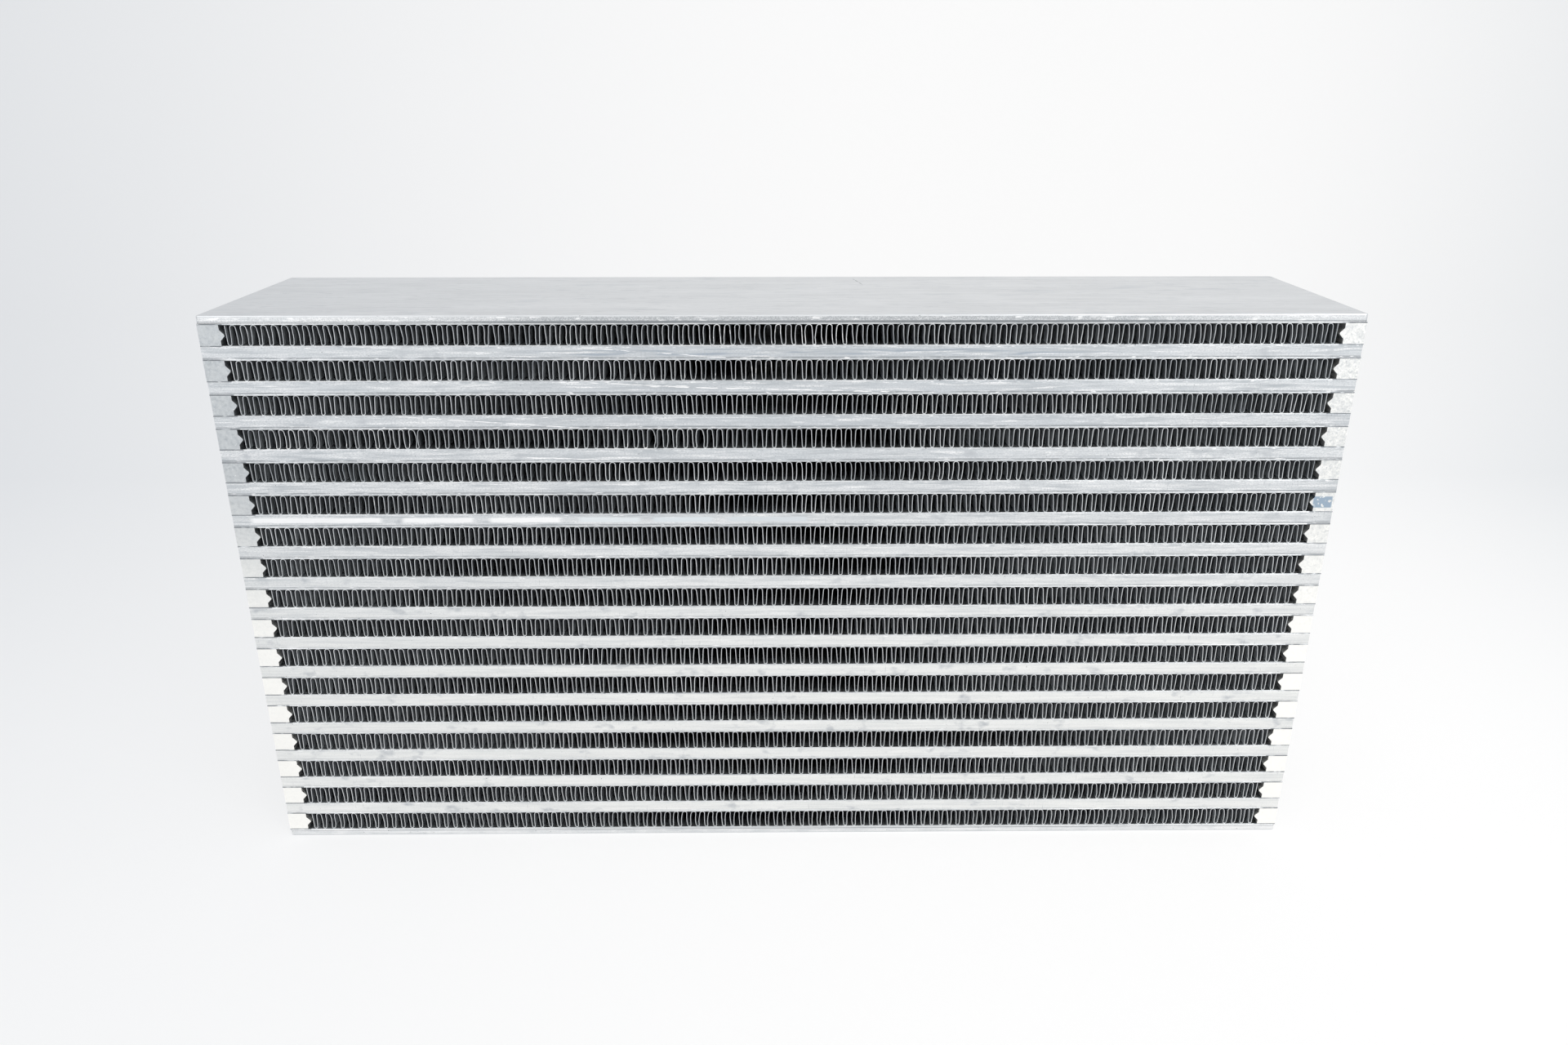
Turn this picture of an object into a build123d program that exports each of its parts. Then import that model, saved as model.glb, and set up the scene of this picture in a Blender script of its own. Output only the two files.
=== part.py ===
from build123d import *

import os
from math import sqrt

# Core of a bar-and-plate intercooler, in unpainted aluminium.
#
# Cooling air crosses the core from front to back through the air layers. Charge air crosses it from left to
# right through the charge layers between them. Parting sheets keep the two apart. Each air layer is closed
# at its two ends by short bars, and each charge layer is closed at front and rear by long bars. A side
# plate lies on the top and on the bottom of the stack. Everything is brazed face to face.
#
# Millimetres. The origin is the middle of the underside: +X runs to the right along the length, +Y from the
# front face to the rear face, and +Z up the stack. Layers are numbered from the bottom up.

# --- Driving dimensions ---------------------------------------------------------------------------------

CORE_LENGTH = 580.0         # left end to right end, along X
CORE_DEPTH = 120.0          # front face to rear face, along Y

AIR_LAYERS = 17             # one charge layer lies between each two of them
AIR_HEIGHT = 10.4           # clear height between the sheets of an air layer
CHARGE_HEIGHT = 6.3         # clear height between the sheets of a charge layer
SHEET_THICKNESS = 0.6       # braze-clad parting sheet

PLATE_THICKNESS = 4.0       # top and bottom side plate
PLATE_CORNER_RADIUS = 1.5   # the four upright corners of a side plate
PLATE_RIM_CHAMFER = 0.4     # the broken edge round a side plate's outer face

END_BAR_WIDTH = 10.6        # end bar's body, along X, without its nose
END_NOSE_REACH = 2.2        # how far the nose stands into the air layer
END_NOSE_ROOT = 5.6         # nose height where it leaves the body
END_NOSE_TIP = 1.2          # nose height at its blunt tip

LONG_BAR_WIDTH = 10.0       # long bar's body, along Y, without its nose
LONG_NOSE_REACH = 1.8       # how far the nose stands into the charge layer
LONG_NOSE_ROOT = 3.6        # nose height where it leaves the body
LONG_NOSE_TIP = 0.9         # nose height at its blunt tip

# The real ribbons have a fold every 5.12 mm. One fold here stands for three of those, which keeps the
# number of faces of a core with thirty-three ribbons small. The heights and the ends are the real ones.
# A ribbon is stretched or squeezed a little, so that whole folds fill the way from bar to bar.
AIR_FOLD_PITCH = 15.36      # one crown to the next, along X
AIR_FIN_STOCK = 0.4         # thickness of the air ribbon's foil
AIR_FIN_SETBACK = 0.3       # ribbon's cut edges behind the front and rear faces
CHARGE_FOLD_PITCH = 15.8    # one crown to the next, along Y
CHARGE_FIN_STOCK = 0.4      # thickness of the charge ribbon's foil
CHARGE_FIN_SETBACK = 1.5    # ribbon's cut edges inside the left and right ends
FIN_CLEARANCE = 0.3         # gap between a ribbon and the nose of a bar, at each side

# --- Worked out from them -------------------------------------------------------------------------------

AIR_STEP = AIR_HEIGHT + SHEET_THICKNESS
CHARGE_STEP = CHARGE_HEIGHT + SHEET_THICKNESS
LAYER_PITCH = AIR_STEP + CHARGE_STEP                # one air layer to the next
FIRST_SHEET = PLATE_THICKNESS                       # underside of the lowest sheet
STACK_TOP = FIRST_SHEET + AIR_LAYERS * LAYER_PITCH - CHARGE_STEP + SHEET_THICKNESS
AIR_WIDTH = CORE_LENGTH - 2 * (END_BAR_WIDTH + END_NOSE_REACH)
CHARGE_WIDTH = CORE_DEPTH - 2 * (LONG_BAR_WIDTH + LONG_NOSE_REACH)


def air_layer_base(layer):
    """Height of the sheet face that air layer 1, 2, ... stands on."""
    return FIRST_SHEET + SHEET_THICKNESS + (layer - 1) * LAYER_PITCH


def charge_layer_base(layer):
    """Height of the sheet face that charge layer 1, 2, ... stands on."""
    return air_layer_base(layer) + AIR_STEP


# --- Shapes ---------------------------------------------------------------------------------------------

# Every shape stands on the XY plane, where its layer's sheet will be, and is lifted into place later.

def flat_sheet(thickness):
    """A sheet over the whole core."""
    return Box(CORE_LENGTH, CORE_DEPTH, thickness, align=(Align.CENTER, Align.CENTER, Align.MIN))


def side_plate(outer_face):
    """A side plate with rounded corners and a broken rim. outer_face is -1 for the top face, 0 for the
    bottom one."""
    plate = flat_sheet(PLATE_THICKNESS)
    plate = fillet(plate.edges().filter_by(Axis.Z), PLATE_CORNER_RADIUS)
    rim = plate.faces().sort_by(Axis.Z)[outer_face].edges()
    return chamfer(rim, PLATE_RIM_CHAMFER)


def bar_section(width, height, nose_reach, nose_root, nose_tip):
    """Section of a closing bar, standing on the first axis with its outer face on the second. The nose
    points along the first axis, half way up."""
    tip = width + nose_reach
    middle = height / 2
    outline = Polyline(
        (0, 0),
        (width, 0),
        (width, middle - nose_root / 2),
        (tip, middle - nose_tip / 2),
        (tip, middle + nose_tip / 2),
        (width, middle + nose_root / 2),
        (width, height),
        (0, height),
        close=True,
    )
    return make_face(outline)


def ribbon_section(clear_width, height, pitch, stock):
    """Section of a folded ribbon, centred on the second axis and standing on the first. It has whole folds
    of about the given pitch, and its crowns touch both sheets."""
    ribbon_width = clear_width - 2 * FIN_CLEARANCE
    folds = max(1, round(ribbon_width / pitch))
    wall_run = ribbon_width / (2 * folds)
    # Rise of a wall for each millimetre along the first axis, when the foil in it keeps its thickness.
    slope = (height * wall_run - stock * sqrt(height**2 + wall_run**2 - stock**2)) / (wall_run**2 - stock**2)
    foil_rise = stock * sqrt(1 + slope**2)          # the foil measured straight up through a wall
    lower = []
    upper = []
    for bend in range(2 * folds + 1):
        along = (bend - folds) * wall_run
        is_crown = bend % 2 == 1
        lower.append((along, height - foil_rise if is_crown else 0))
        upper.append((along, height if is_crown else foil_rise))
    return make_face(Polyline(*lower, *reversed(upper), close=True))


# Sections that run along Y are drawn on a plane whose first axis is +X and whose second is +Z. Its normal
# is -Y, so an extrusion of both=True stands evenly on the two sides of it. Sections that run along X are
# drawn on a plane whose first axis is +Y and whose second is +Z.
ACROSS = Plane(origin=(0, 0, 0), x_dir=(1, 0, 0), z_dir=(0, -1, 0))
ALONG = Plane(origin=(0, 0, 0), x_dir=(0, 1, 0), z_dir=(1, 0, 0))


def end_bars():
    """The left and the right end bar of an air layer."""
    section = bar_section(END_BAR_WIDTH, AIR_HEIGHT, END_NOSE_REACH, END_NOSE_ROOT, END_NOSE_TIP)
    bar = extrude(ACROSS * section, CORE_DEPTH / 2, both=True)
    left = Pos(-CORE_LENGTH / 2, 0, 0) * bar
    return Compound([left, mirror(left, Plane.YZ)])


def long_bars():
    """The front and the rear bar of a charge layer."""
    section = bar_section(LONG_BAR_WIDTH, CHARGE_HEIGHT, LONG_NOSE_REACH, LONG_NOSE_ROOT, LONG_NOSE_TIP)
    bar = extrude(ALONG * section, CORE_LENGTH / 2, both=True)
    front = Pos(0, -CORE_DEPTH / 2, 0) * bar
    return Compound([front, mirror(front, Plane.XZ)])


def air_fin():
    """The ribbon of an air layer. Air goes through it from front to back."""
    section = ribbon_section(AIR_WIDTH, AIR_HEIGHT, AIR_FOLD_PITCH, AIR_FIN_STOCK)
    return extrude(ACROSS * section, CORE_DEPTH / 2 - AIR_FIN_SETBACK, both=True)


def charge_fin():
    """The ribbon of a charge layer. Charge air goes through it from left to right."""
    section = ribbon_section(CHARGE_WIDTH, CHARGE_HEIGHT, CHARGE_FOLD_PITCH, CHARGE_FIN_STOCK)
    return extrude(ALONG * section, CORE_LENGTH / 2 - CHARGE_FIN_SETBACK, both=True)


# --- The core -------------------------------------------------------------------------------------------

sheet = flat_sheet(SHEET_THICKNESS)
end_bar_pair = end_bars()
air_ribbon = air_fin()
long_bar_pair = long_bars()
charge_ribbon = charge_fin()

nodes = {
    "bottom_plate": side_plate(outer_face=0),
    "top_plate": Pos(0, 0, STACK_TOP) * side_plate(outer_face=-1),
}

sheets = []
for layer in range(1, AIR_LAYERS + 1):
    base = air_layer_base(layer)
    sheets.append(Pos(0, 0, base - SHEET_THICKNESS) * sheet)
    sheets.append(Pos(0, 0, base + AIR_HEIGHT) * sheet)
    nodes[f"end_bars_{layer:02d}"] = Pos(0, 0, base) * end_bar_pair
    nodes[f"air_fin_{layer:02d}"] = Pos(0, 0, base) * air_ribbon
nodes["parting_sheets"] = Compound(sheets)

charge_fins = []
for layer in range(1, AIR_LAYERS):
    base = charge_layer_base(layer)
    nodes[f"long_bars_{layer:02d}"] = Pos(0, 0, base) * long_bar_pair
    charge_fins.append(Pos(0, 0, base) * charge_ribbon)
nodes["charge_fins"] = Compound(charge_fins)

os.makedirs("parts", exist_ok=True)
for name, shape in nodes.items():
    export_step(shape, f"parts/{name}.step")
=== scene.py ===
# %% [markdown]
# # The core of a bar-and-plate intercooler
#
# This lesson dresses a finished CAD frame: a brazed block of bare aluminium. Cooling air goes through it from
# front to back between tightly folded fins, and hot charge air goes through it from left to right in the
# closed passages between them.
#
# The frame is in metres, with +X to the right, +Y to the rear and +Z up. Every CAD node sits at the origin
# with its place in its mesh, and each piece made here does the same. The frame comes first, because every
# size below is read from it.

# %% Load the frame
import math

import bmesh
import bpy
import numpy as np
from mathutils import Matrix, Vector


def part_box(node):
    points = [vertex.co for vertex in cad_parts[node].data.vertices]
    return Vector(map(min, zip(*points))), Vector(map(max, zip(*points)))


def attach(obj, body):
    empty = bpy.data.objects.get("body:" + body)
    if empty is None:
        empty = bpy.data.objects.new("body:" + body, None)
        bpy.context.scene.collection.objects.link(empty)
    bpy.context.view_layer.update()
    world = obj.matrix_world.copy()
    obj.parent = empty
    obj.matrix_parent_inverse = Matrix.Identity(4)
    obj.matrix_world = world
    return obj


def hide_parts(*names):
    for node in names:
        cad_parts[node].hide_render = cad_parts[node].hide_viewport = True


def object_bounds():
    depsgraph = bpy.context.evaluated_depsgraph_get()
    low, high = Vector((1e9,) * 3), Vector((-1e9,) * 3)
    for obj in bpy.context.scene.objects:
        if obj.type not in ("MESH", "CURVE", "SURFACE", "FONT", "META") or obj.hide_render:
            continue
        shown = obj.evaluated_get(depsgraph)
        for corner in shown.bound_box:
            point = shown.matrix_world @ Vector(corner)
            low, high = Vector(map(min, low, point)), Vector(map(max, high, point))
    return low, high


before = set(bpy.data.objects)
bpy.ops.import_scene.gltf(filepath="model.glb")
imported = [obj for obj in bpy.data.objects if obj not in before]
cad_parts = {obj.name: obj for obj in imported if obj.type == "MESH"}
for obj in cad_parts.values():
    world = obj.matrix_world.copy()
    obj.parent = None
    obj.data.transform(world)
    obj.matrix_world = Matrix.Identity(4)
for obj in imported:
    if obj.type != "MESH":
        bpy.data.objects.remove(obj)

MM = 0.001
CAD_BOX = [list(corner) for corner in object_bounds()]
LOW, HIGH = (Vector(corner) for corner in CAD_BOX)
AIR_LAYERS = sum(name.startswith("air_fin_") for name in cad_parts)
print("CAD box in mm:", [[round(x / MM, 2) for x in corner] for corner in CAD_BOX])
print("air layers:", AIR_LAYERS, "charge layers:", AIR_LAYERS - 1)

# %% [markdown]
# ## The camera
#
# The camera stands a little more than half a metre in front of the core, and looks down on it by about
# 21 degrees through a wide lens. A wide lens close by makes the sides of the block lean in strongly towards
# the bottom, which a longer lens from further away would not do. The lens and the place belong together, so
# both come before any modelling.

# %% Camera
CAMERA_PLACE = Vector((-5.4, -619.3, 411.2)) * MM
CAMERA_LOOKS_DOWN = math.radians(21.03)
CAMERA_TURNS_RIGHT = math.radians(0.53)
CAMERA_LENS = 26.04         # millimetres, on a frame 36 mm wide

camera_data = bpy.data.cameras.new("camera")
camera_data.sensor_fit = "HORIZONTAL"
camera_data.sensor_width = 36.0
camera_data.lens = CAMERA_LENS
camera_data.clip_start = 0.01
camera = bpy.data.objects.new("camera", camera_data)
camera.location = CAMERA_PLACE
camera.rotation_euler = (math.pi / 2 - CAMERA_LOOKS_DOWN, 0.0, -CAMERA_TURNS_RIGHT)
bpy.context.scene.collection.objects.link(camera)
bpy.context.scene.camera = camera
print("camera is", round((CAMERA_PLACE - (LOW + HIGH) / 2).length / MM), "mm from the middle of the core")

# %% [markdown]
# ## Helpers for finishes
#
# Colours are written as the sRGB hex values that a colour picker shows, and one function turns them to the
# linear values that Blender's sockets expect. One small function adds a node, sets it and links it, so that
# a finish below reads as a short list of nodes. Pattern sizes are real sizes: `cells` turns a feature size in
# millimetres into the scale of a texture that reads metres.

# %% Colour and node helpers
def linear(hex_colour):
    """The linear RGBA value of an sRGB colour such as "#c8ccd0"."""
    parts = [int(hex_colour[i:i + 2], 16) / 255 for i in (1, 3, 5)]
    return [p / 12.92 if p <= 0.04045 else ((p + 0.055) / 1.055) ** 2.4 for p in parts] + [1.0]


def cells(size_mm):
    """The scale of a texture on metres whose features are size_mm across."""
    return 1 / (size_mm * MM)


def add(tree, kind, inputs=(), **settings):
    """Adds a node. inputs pairs a socket's name or number with a value or with the output to link to it."""
    node = tree.nodes.new(kind)
    for name, value in settings.items():
        setattr(node, name, value)
    for name, value in dict(inputs).items():
        if isinstance(value, bpy.types.NodeSocket):
            tree.links.new(value, node.inputs[name])
        else:
            node.inputs[name].default_value = value
    return node


# A colour Mix node has its sockets under these numbers, because several share a name.
FACTOR, COLOUR_A, COLOUR_B, MIXED = 0, 6, 7, 2


def new_material(name):
    """An empty node material, its tree, the object's own coordinates as a vector, and its X, Y and Z."""
    material = bpy.data.materials.new(name)
    material.use_nodes = True
    tree = material.node_tree
    tree.nodes.clear()
    place = add(tree, "ShaderNodeTexCoord").outputs["Object"]
    axes = add(tree, "ShaderNodeSeparateXYZ", {"Vector": place}).outputs
    return material, tree, place, axes


# %% [markdown]
# ## One metal, several surfaces
#
# Everything here is bare aluminium, but no two kinds of piece look alike. Rolled plate has fine streaks along
# its rolling direction and a soft satin gloss. Extruded bar has drawing lines along its length. The furnace
# then leaves both with a patchy bloom where the braze filler ran. All of that is the same recipe with other
# sizes, so one function makes it: drawn lines, a broader bloom, and a relief from the lines.
#
# The metal keeps its default IOR, and its reflectance comes from the base colour, as on any metal.

# %% The shared recipe of a bare aluminium surface
# Colours and roughness are given for each piece. Bare aluminium is a bright, slightly blue grey, and its
# roughness of 0.3 to 0.55 spreads the lamps to a satin sheen. Real drawing lines are about a tenth of a
# millimetre wide, too fine to show from here, so they are drawn as coarse as they need to be.
LINE_STRETCH = 60        # drawing lines are this many times as long as they are wide
BLOOM_STRETCH = 3        # and patches of bloom this many times


def stretched(tree, place, along, ratio):
    """Coordinates in which features come out ratio times as long along the axis 0, 1 or 2."""
    scale = [1.0, 1.0, 1.0]
    scale[along] = 1 / ratio
    return add(tree, "ShaderNodeMapping", {"Vector": place, "Scale": scale}).outputs["Vector"]


def bare_aluminium(tree, place, dark, light, along, line_mm, bloom_mm, roughness, relief_mm):
    """Adds a worked aluminium surface. along is the axis of its lines, line_mm their width and bloom_mm the
    size of its patches. roughness is its range. Returns its colour, its roughness and its normal."""
    lines = add(tree, "ShaderNodeTexNoise", {
        "Vector": stretched(tree, place, along, LINE_STRETCH), "Scale": cells(line_mm),
        "Detail": 4.0, "Roughness": 0.6,
    }).outputs["Fac"]
    bloom = add(tree, "ShaderNodeTexNoise", {
        "Vector": stretched(tree, place, along, BLOOM_STRETCH), "Scale": cells(bloom_mm),
        "Detail": 6.0, "Roughness": 0.65,
    }).outputs["Fac"]
    both = add(tree, "ShaderNodeMath", {0: lines, 1: bloom}, operation="ADD").outputs[0]
    tone = add(tree, "ShaderNodeMapRange", {
        "Value": both, "From Min": 0.8, "From Max": 1.2,
    }).outputs["Result"]
    colour = add(tree, "ShaderNodeMix", {
        FACTOR: tone, COLOUR_A: linear(dark), COLOUR_B: linear(light),
    }, data_type="RGBA").outputs[MIXED]
    gloss = add(tree, "ShaderNodeMapRange", {
        "Value": bloom, "From Min": 0.3, "From Max": 0.7, "To Min": roughness[1], "To Max": roughness[0],
    }).outputs["Result"]
    relief = add(tree, "ShaderNodeBump", {
        "Height": both, "Distance": relief_mm * MM, "Strength": 0.6,
    }).outputs["Normal"]
    return colour, gloss, relief


def finish_metal(tree, colour, roughness, normal=None):
    """Closes a metal's node tree with its shader."""
    inputs = {"Base Color": colour, "Roughness": roughness, "Metallic": 1.0}
    if normal is not None:
        inputs["Normal"] = normal
    shader = add(tree, "ShaderNodeBsdfPrincipled", inputs)
    add(tree, "ShaderNodeOutputMaterial", {"Surface": shader.outputs["BSDF"]})


def told(material):
    """Prints what a finish is made of, and hands it on."""
    print(material.name + ":", len(material.node_tree.nodes), "nodes")
    return material


# %% [markdown]
# ## Marks
#
# What tells a handled, brazed core from a drawing is its marks: flux specks, smears, stains, scratches. Each
# mark is a mask, a number from 0 to 1 at every point of the surface, and a colour that lies over the metal
# where the mask is 1. Scattered marks come from noise, and a mark in one place comes from bands: a band is 1
# between two limits and fades out beyond them, and bands along different axes multiply to a box.

# %% Masks for marks
def patches(tree, place, size_mm, start, full, along=0, ratio=1.0, shift=0.0):
    """A mask of scattered patches about size_mm across. The lower start and full are, the more there are."""
    moved = add(tree, "ShaderNodeMapping", {
        "Vector": stretched(tree, place, along, ratio), "Location": (shift, 0.7 * shift, 0.3 * shift),
    }).outputs["Vector"]
    noise = add(tree, "ShaderNodeTexNoise", {
        "Vector": moved, "Scale": cells(size_mm), "Detail": 3.0,
    }).outputs["Fac"]
    return add(tree, "ShaderNodeMapRange", {
        "Value": noise, "From Min": start, "From Max": full,
    }).outputs["Result"]


def band(tree, value, low, high, fade):
    """A mask that is 1 where a length is from low to high, and fades out over fade, all in millimetres."""
    middle, half = (low + high) / 2, (high - low) / 2
    offset = add(tree, "ShaderNodeMath", {0: value, 1: middle * MM}, operation="SUBTRACT").outputs[0]
    away = add(tree, "ShaderNodeMath", {0: offset}, operation="ABSOLUTE").outputs[0]
    return add(tree, "ShaderNodeMapRange", {
        "Value": away, "From Min": half * MM, "From Max": (half + fade) * MM, "To Min": 1.0, "To Max": 0.0,
    }, interpolation_type="SMOOTHSTEP").outputs["Result"]


def chain(tree, operation, *values):
    """Puts masks or numbers together in turn: MULTIPLY for all of the masks, MAXIMUM for any of them."""
    result = values[0]
    for value in values[1:]:
        result = add(tree, "ShaderNodeMath", {0: result, 1: value}, operation=operation).outputs[0]
    return result


def elsewhere(tree, mask):
    """A mask that is 1 where another is 0."""
    return add(tree, "ShaderNodeMath", {0: 1.0, 1: mask}, operation="SUBTRACT").outputs[0]


def marked(tree, colour, marks):
    """Lays marks over a colour in turn. Each is a mask and the hex colour that the metal has there."""
    for mask, mark in marks:
        colour = add(tree, "ShaderNodeMix", {
            FACTOR: mask, COLOUR_A: colour, COLOUR_B: linear(mark),
        }, data_type="RGBA").outputs[MIXED]
    return colour


def scratch(tree, across, up, start, end, width):
    """A mask of a straight line between two points, given in millimetres along the axes across and up."""
    (x0, z0), (x1, z1) = start, end
    slope = (z1 - z0) / (x1 - x0)
    fall = add(tree, "ShaderNodeMath", {0: across, 1: -slope}, operation="MULTIPLY").outputs[0]
    level = add(tree, "ShaderNodeMath", {0: up, 1: fall}, operation="ADD").outputs[0]
    line = z0 - slope * x0
    return chain(
        tree, "MULTIPLY",
        band(tree, level, line - width / 2, line + width / 2, width / 2),
        band(tree, across, x0, x1, 3),
    )


WEAR_AND_LIGHT_FROM, WEAR_AND_LIGHT_ABOVE = 0.10, 0.24        # heights in metres between which the mask of wear and painted light and shade grows


def higher_up(tree, z, least):
    """A mask that grows with height from least near the floor to 1 near the top. It places wear, which is
    greatest near the top where hands hold a core, and painted light and shade: lower parts are painted whiter
    and upper ones greyer or darker.
    """
    return add(tree, "ShaderNodeMapRange", {
        "Value": z, "From Min": WEAR_AND_LIGHT_FROM, "From Max": WEAR_AND_LIGHT_ABOVE, "To Min": least, "To Max": 1.0,
    }, interpolation_type="SMOOTHSTEP").outputs["Result"]


# %% [markdown]
# ### Side plate
#
# The side plates are rolled sheet, as the mill delivers it. One flat grey would do from afar, but smudges
# along the rolling direction and one short scratch make it a plate that people have carried, so they lie over
# the shared recipe as masks.

# %% Side plate: rolled sheet with its mill finish
# A dull satin grey, with faint smudges along the rolling direction and one short scratch.
def rolled_plate_aluminium():
    material, tree, place, axes = new_material("rolled_plate_aluminium")
    colour, roughness, normal = bare_aluminium(
        tree, place, "#d6d8da", "#dfe1e3", along=0, line_mm=1.6, bloom_mm=22, roughness=(0.36, 0.46),
        relief_mm=0.01,
    )
    scored = chain(
        tree, "MULTIPLY",
        scratch(tree, axes["Y"], axes["X"], (33.0, 44.9), (50.5, 41.4), 0.35),
        patches(tree, place, 2.5, 0.40, 0.50),
    )
    colour = marked(tree, colour, [
        (patches(tree, place, 4.0, 0.63, 0.82, ratio=5), "#bfc3c7"),
        (patches(tree, place, 9.0, 0.60, 0.85, ratio=3, shift=1.3), "#c8ccd0"),
        (patches(tree, place, 0.8, 0.62, 0.76, ratio=12, shift=4.4), "#b2b7bb"),
        (patches(tree, place, 0.9, 0.74, 0.80, ratio=2, shift=2.1), "#a0a5a9"),
        (scored, "#8f9498"),
    ])
    finish_metal(tree, colour, roughness, normal)
    return material


PLATE_FINISH = told(rolled_plate_aluminium())

# %% [markdown]
# ### Side plate's edge
#
# A shear burnishes the sheet next to its face and tears it below, and a fine line is left between the two.
# That could be modelled, but the grain is far below a millimetre. Bands measured from the plate's outer face
# put it on a flat edge instead, for both plates at once.

# %% Side plate's edge: sheared, so burnished next to its face and torn below
# A bright rim over a grainy, grey band with a few white flecks. The rim is painted a little darker, a painted
# shade that softens the highlight its rounding catches, and the band is painted darker in the middle of the
# core, a painted shade.
def sheared_edge_aluminium():
    material, tree, place, axes = new_material("sheared_edge_aluminium")
    colour, roughness, normal = bare_aluminium(
        tree, place, "#d9dcde", "#fafafa", along=0, line_mm=0.8, bloom_mm=5, roughness=(0.30, 0.45),
        relief_mm=0.05,
    )
    centre = (LOW.z + HIGH.z) / 2
    from_centre = add(tree, "ShaderNodeMath", {0: axes["Z"], 1: centre}, operation="SUBTRACT").outputs[0]
    outward = add(tree, "ShaderNodeMath", {0: from_centre}, operation="ABSOLUTE").outputs[0]
    face = (HIGH.z - centre) / MM       # the plate's outer face, in millimetres from the core's middle
    height_ramp = higher_up(tree, axes["Z"], 0.15)
    torn = chain(tree, "MULTIPLY", band(tree, outward, face - 4.4, face - 0.9, 0.4), height_ramp)
    grain = patches(tree, place, 0.45, 0.36, 0.66, ratio=1.4)
    flecks = patches(tree, place, 1.6, 0.58, 0.68, ratio=5, shift=0.9)
    # Painted shade: the torn band and its groove are painted darker in the middle of the core.
    shaded_middle = chain(tree, "MULTIPLY", torn, band(tree, axes["X"], -90, 150, 120))
    groove = band(tree, outward, face - 3.7, face - 2.9, 0.3)
    line = band(tree, outward, face - 3.3, face - 3.1, 0.2)
    colour = marked(tree, colour, [
        (chain(tree, "MULTIPLY", torn, grain, 0.75), "#c0c3c5"),
        (chain(tree, "MULTIPLY", shaded_middle, 0.55), "#bdc1c4"),
        (chain(tree, "MULTIPLY", shaded_middle, grain, 0.60), "#94989c"),
        (chain(tree, "MULTIPLY", torn, flecks, 0.8), "#ffffff"),
        # Painted shade: the rim is painted a little darker, which softens the highlight that its rounding
        # catches.
        (band(tree, outward, face - 0.5, face + 0.5, 0.3), "#cfd2d4"),
        (chain(tree, "MULTIPLY", groove, shaded_middle, 0.8), "#8b8f93"),
        (chain(tree, "MULTIPLY", line, 0.7), "#85898d"),
        (patches(tree, place, 0.8, 0.70, 0.76, ratio=2, shift=2.1), "#7d8184"),
    ])
    finish_metal(tree, colour, roughness, normal)
    return material


PLATE_EDGE_FINISH = told(sheared_edge_aluminium())

# %% [markdown]
# ### Parting sheet
#
# The sheets between the layers are clad with braze filler, so their edges shine. Their faces show only
# between the folds of the fins, where flux leaves them dull and a painted shade darkens them. One mask tells
# the two apart: how far a point is behind the front or the rear face.

# %% Parting sheet: thin sheet, clad with braze filler
# The filler melts to a bright, smooth lip. Inside the core the flux leaves the sheet dull, and a painted
# shade darkens it there too. At both ends a dark line on its edge between the bars is a painted shade for the
# groove there.
def from_face(tree, along, reach):
    """A mask along Y of the core's inside. It is 0 down to the first reach behind the front and the rear
    face, and 1 from the second, both in millimetres."""
    away = add(tree, "ShaderNodeMath", {0: along}, operation="ABSOLUTE").outputs[0]
    return add(tree, "ShaderNodeMapRange", {
        "Value": away, "From Min": HIGH.y - reach[0] * MM, "From Max": HIGH.y - reach[1] * MM,
    }, interpolation_type="SMOOTHSTEP").outputs["Result"]


def clad_sheet_aluminium():
    material, tree, place, axes = new_material("clad_sheet_aluminium")
    colour, roughness, normal = bare_aluminium(
        tree, place, "#bfc3c6", "#eceeef", along=0, line_mm=0.8, bloom_mm=7, roughness=(0.34, 0.46),
        relief_mm=0.02,
    )
    from_middle = add(tree, "ShaderNodeMath", {0: axes["X"]}, operation="ABSOLUTE").outputs[0]
    between_bars = band(tree, from_middle, HIGH.x / MM - 12, HIGH.x / MM + 1, 1)
    # Painted shade: a dark line on the sheet's edge over the end bars stands in for the shade of a groove
    # there.
    seam_groove_shade = patches(tree, place, 2.0, 0.34, 0.48, ratio=3, shift=7.7)
    colour = marked(tree, colour, [
        # Flux dulls the sheet inside the core, and a painted shade darkens it there too.
        (from_face(tree, axes["Y"], (3, 20)), "#83878b"),
        (chain(tree, "MULTIPLY", between_bars, seam_groove_shade), "#85898d"),
        (patches(tree, place, 3.0, 0.58, 0.72, ratio=4), "#b9bdc1"),
        (patches(tree, place, 0.7, 0.66, 0.74, ratio=2, shift=1.1), "#74797d"),
    ])
    finish_metal(tree, colour, roughness, normal)
    return material


SHEET_FINISH = told(clad_sheet_aluminium())

# %% [markdown]
# ### Long bar
#
# A long bar is extruded, and brazing leaves flux and specks along its two seams. All 32 bars share one
# finish, because the layers repeat at an even step: a point's height splits into the number of its layer,
# which gives each bar a tone of its own, and the height within that layer, which finds the seams.

# %% Where a bar lies in the stack
# The layers repeat at an even step, so height within a layer is what is left over after whole layers.
FIRST_AIR_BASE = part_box("air_fin_01")[0].z / MM
LAYER_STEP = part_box("air_fin_02")[0].z / MM - FIRST_AIR_BASE
LONG_BAR_MIDDLE = (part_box("long_bars_01")[0].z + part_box("long_bars_01")[1].z) / 2 / MM - FIRST_AIR_BASE
print("layer step:", round(LAYER_STEP, 2), "mm, long bar's middle", round(LONG_BAR_MIDDLE, 2), "mm up")


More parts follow.
